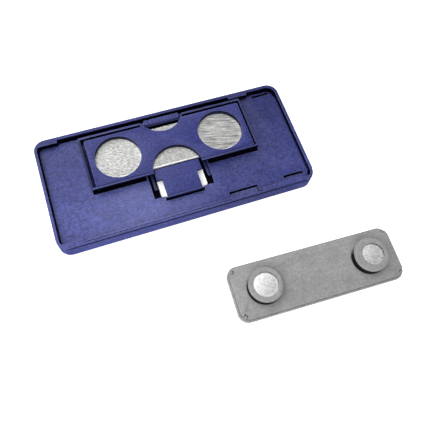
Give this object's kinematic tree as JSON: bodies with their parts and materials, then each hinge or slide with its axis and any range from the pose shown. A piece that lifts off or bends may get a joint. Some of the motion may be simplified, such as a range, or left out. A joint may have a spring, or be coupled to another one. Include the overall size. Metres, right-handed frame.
{
  "type": "magnetic glass cleaner",
  "caption": "Magnetic glass cleaner in two halves: a blue tray with a hinged windowed magnet cover and a sprung tongue, and a grey strip with hollow magnet bosses.",
  "frame": {"origin": "centre of the outer half's felt face, which lies on the glass", "axes": "+X along the outer half, +Y from its near edge to its far edge, +Z away from the glass"},
  "size_m": [0.0897, 0.0695, 0.0064],
  "materials": {
    "blue_shell": "satin moulded",
    "blue_cover": "satin moulded",
    "carrier_plastic": "matt moulded",
    "white_tape": "matt film",
    "white_felt": "needled felt",
    "grey_felt": "needled felt",
    "brushed_yoke": "brushed",
    "magnet_plating": "nickel plated",
    "pin_steel": "drawn",
    "grey_shell": "satin moulded"
  },
  "bodies": {
    "outer_half": {"tray_shell": "blue_shell", "pad_carrier": "carrier_plastic", "pad_backing": "white_tape", "felt_pad": "white_felt", "yoke_plate": "brushed_yoke", "outer_magnet_left": "magnet_plating", "outer_magnet_right": "magnet_plating", "hinge_bar": "blue_cover", "hinge_pin": "pin_steel"},
    "cover": {"magnet_cover": "blue_cover"},
    "tongue": {"release_tongue": "blue_cover"},
    "arm_left": {"snap_arm_left": "blue_cover"},
    "arm_right": {"snap_arm_right": "blue_cover"},
    "inner_half": {"inner_cover": "grey_shell", "inner_base": "grey_shell", "inner_yoke": "brushed_yoke", "inner_magnet_left": "magnet_plating", "inner_magnet_right": "magnet_plating", "scrub_backing": "white_tape", "scrub_pad": "grey_felt"}
  },
  "joints": [
    {"name": "cover_hinge", "type": "hinge", "parent": "outer_half", "child": "cover", "pos_m": [0, 0.0142, 0.005], "axis": [-1, 0, 0], "range_deg": [0, 100]},
    {"name": "tongue_flex", "type": "hinge", "parent": "outer_half", "child": "tongue", "pos_m": [-0.0002, 0.0025, 0.003], "axis": [1, 0, 0], "range_deg": [0, 3], "stiffness_Nm_per_rad": 0.05},
    {"name": "arm_left_flex", "type": "hinge", "parent": "outer_half", "child": "arm_left", "pos_m": [-0.0078, 0.0025, 0.003], "axis": [1, 0, 0], "range_deg": [0, 2], "stiffness_Nm_per_rad": 0.02},
    {"name": "arm_right_flex", "type": "hinge", "parent": "outer_half", "child": "arm_right", "pos_m": [0.0083, 0.0025, 0.003], "axis": [1, 0, 0], "range_deg": [0, 2], "stiffness_Nm_per_rad": 0.02},
    {"name": "inner_half_lift", "type": "slide", "parent": "outer_half", "child": "inner_half", "axis": [0, 0, 1], "range_m": [0, 0.04]}
  ]
}
